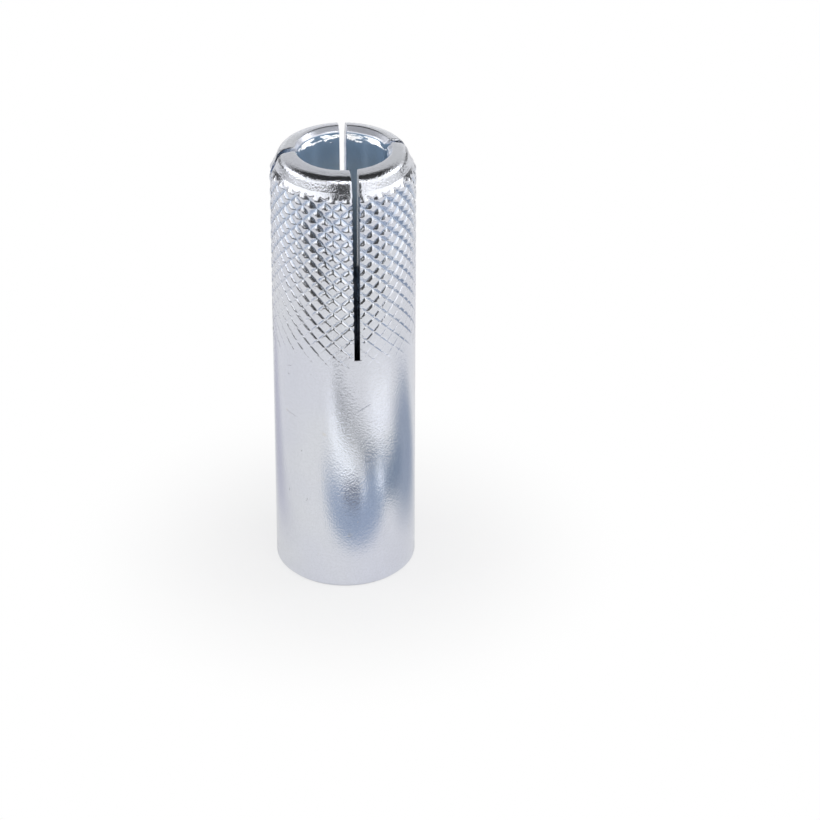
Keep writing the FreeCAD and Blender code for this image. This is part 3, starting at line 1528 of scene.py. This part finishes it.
@dataclass
class Studio:
    """A pale floor, a pale world, soft lamps, and dark and bright cards for the metal to reflect."""

    aim: Vector
    floor_radius: float = 4000.0
    floor_columns: int = 96
    white: Colour = (1.0, 1.0, 1.0, 1.0)
    world_light: float = 0.62
    world_shown: float = 1.0

    def build(self) -> None:
        """Set up the floor, the world, the lamps, the cards and the floor's tones."""
        self.floor()
        self.world()
        for piece in self.lights() + self.cards():
            piece.build(self.aim)
        for layer, tone in enumerate(self.tones()):
            tone.build(layer)

    def lights(self) -> list[SoftBox]:
        """Give the lamps.

        Returns:
            The lamps.
        """
        return [
            SoftBox("key_box", 10, 50, 700, width=620, height=260, brightness=1.5),
            SoftBox("left_box", -96, 22, 700, width=420, height=420, brightness=1.3),
            SoftBox("right_box", 80, 22, 700, width=420, height=420, brightness=1.3),
        ]

    def cards(self) -> list[Card]:
        """Give the cards.

        Returns:
            The cards.
        """
        return [
            Card("overhead_card", 169, 88, 500, width=1500, height=680, brightness=0.03),
            Card("front_card", -8.5, 17.5, 620, width=391, height=513, brightness=0.07),
            Card("side_front_card", -35.5, 7.8, 620, width=222, height=133, brightness=0.04),
            Card("far_front_card", -59.5, 5.4, 620, width=309, height=119, brightness=0.04),
            Card("left_white_card", -86, 23, 690, width=1200, height=375, brightness=1.25),
            Card("right_white_card", 67, 23, 690, width=1050, height=375, brightness=1.25),
            Card("back_card", 169, 33, 700, width=1800, height=480, brightness=0.62),
            Card("left_level_card", -96, 2.2, 660, width=560, height=200, brightness=0.66),
            Card("right_level_card", 66, 2.2, 660, width=700, height=200, brightness=0.72),
            Card("low_left_card", -141, 3.5, 740, width=653, height=184, brightness=0.05),
            Card("low_right_card", 119, 3.5, 740, width=653, height=184, brightness=0.05),
        ]

    def tones(self) -> list[FloorTone]:
        """Give the tones on the floor, the lowest first. They are painted reflections and painted shade,
        seen only in the metal.

        Returns:
            The tones.
        """
        return [
            # Many of these stand in for a second anchor lying beside this one, and for its shade, which the
            # scene leaves out
            FloorTone("left_shade", (-27, 38), (14, 46), 12, (0.54, 0.54, 0.61, 1)),
            FloorTone("wide_blue", (41, 1), (29, 26), -10, (0.33, 0.38, 0.47, 1)),
            FloorTone("near_blue", (2, -28), (38, 11), 6, (0.34, 0.41, 0.54, 1)),
            FloorTone("inner_blue", (22, -29), (18, 10), 38, (0.33, 0.40, 0.52, 1)),
            FloorTone("dark_side", (33, -15), (10, 17), -38, (0.22, 0.28, 0.37, 1)),
            FloorTone("dark_spot", (0, -34.5), (12, 4.4), 0, (0.11, 0.13, 0.18, 1), edge=0.5),
            FloorTone("bright_patch", (38.5, -40.5), (29, 10.5), 38, (1.06, 1.07, 1.10, 1)),
            FloorTone("long_streak", (-12, -55.5), (27, 3.8), 14, (0.02, 0.03, 0.05, 1), edge=0.4),
            FloorTone("short_streak", (16.5, -41.5), (21, 2.8), 38, (0.05, 0.07, 0.11, 1), edge=0.4),
            FloorTone("bright_streak", (-15, -44), (29, 5.2), 12, (1.22, 1.25, 1.30, 1)),
            FloorTone("left_glint", (8.8, -33.8), (3.6, 3), 0, (0.75, 0.81, 0.92, 1)),
            FloorTone("right_glint", (23.8, -27.5), (2.6, 7), -40, (1.25, 1.3, 1.38, 1)),
            FloorTone("dark_table_end", (-150, -420), (420, 290), -35, (0.03, 0.03, 0.03, 1), edge=0.15),
        ]

    def floor(self) -> None:
        """Lay the round floor."""
        edge = level_ring(self.floor_radius * MILLIMETRE, 0.0, full_turn(self.floor_columns))
        mesh = bpy.data.meshes.new("floor")
        mesh.from_pydata(edge.tolist(), [], [tuple(range(self.floor_columns))])
        mesh.materials.append(PaleGround().material())
        linked("floor", mesh)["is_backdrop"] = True

    def world(self) -> None:
        """Fill the world with even light, shown as white."""
        world = bpy.data.worlds.new("studio_world")
        world.use_nodes = True
        bpy.context.scene.world = world
        shader = Shader(world.node_tree)
        strength = shader.shown_rays() * (self.world_shown - self.world_light) + self.world_light
        light = shader.add("ShaderNodeBackground", {}, {"Color": self.white, "Strength": strength})
        shader.node("ShaderNodeOutputWorld", {}, {"Surface": light})


@dataclass
class PhotoCamera:
    """A camera that stands where the picture was taken from."""

    place: tuple[float, float, float] = (-80.137, -421.377, 284.19)
    heading: float = 12.0
    pitch: float = 31.291
    roll: float = -0.169
    focal_pixels: float = 3547.0
    frame_pixels: float = 820.0
    sensor: float = 36.0
    nearest: float = 10.0
    furthest: float = 20000.0

    def build(self) -> bpy.types.Object:
        """Make the camera and give it to the scene.

        Returns:
            The camera.
        """
        data = bpy.data.cameras.new("photo_camera")
        data.sensor_width = self.sensor
        data.lens = self.focal_pixels / self.frame_pixels * self.sensor
        data.clip_start = self.nearest * MILLIMETRE
        data.clip_end = self.furthest * MILLIMETRE
        camera = linked("photo_camera", data)
        camera.matrix_world = self.matrix()
        bpy.context.scene.camera = camera
        return camera

    def matrix(self) -> Matrix:
        """Work out the camera's placement from its angles.

        Returns:
            The placement, in metres.
        """
        heading, pitch, roll = (math.radians(angle) for angle in (self.heading, self.pitch, self.roll))
        level = Vector((math.sin(heading), math.cos(heading), 0))
        forward = level * math.cos(pitch) - UP * math.sin(pitch)
        right = forward.cross(UP).normalized()
        down = forward.cross(right)
        right, down = (
            right * math.cos(roll) + down * math.sin(roll),
            down * math.cos(roll) - right * math.sin(roll),
        )
        turn = Matrix((right, -down, -forward)).transposed().to_4x4()
        return Matrix.Translation(Vector(self.place) * MILLIMETRE) @ turn


def dress(part: AnchorShell | ExpanderPlug) -> bpy.types.Object:
    """Build a piece, finish it and seat it in the frame.

    Args:
        part: The sub-assembly.

    Returns:
        The piece.
    """
    piece = part.build()
    piece.data.materials.append(part.finish().material())
    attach(piece, BODY)
    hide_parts(part.node)
    log.info("%s stands for %s with %d faces", piece.name, part.node, len(piece.data.polygons))
    return piece


def main() -> None:
    """Dress the anchor, and set up its studio and camera."""
    logging.basicConfig(level=logging.INFO, format="%(name)s: %(message)s")
    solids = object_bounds()
    for part in (AnchorShell(), ExpanderPlug()):
        dress(part)
    bpy.context.scene.view_settings.view_transform = "Standard"
    middle = (solids[0] + solids[1]) / 2
    Studio(aim=middle).build()
    PhotoCamera().build()


if __name__ == "__main__":
    main()
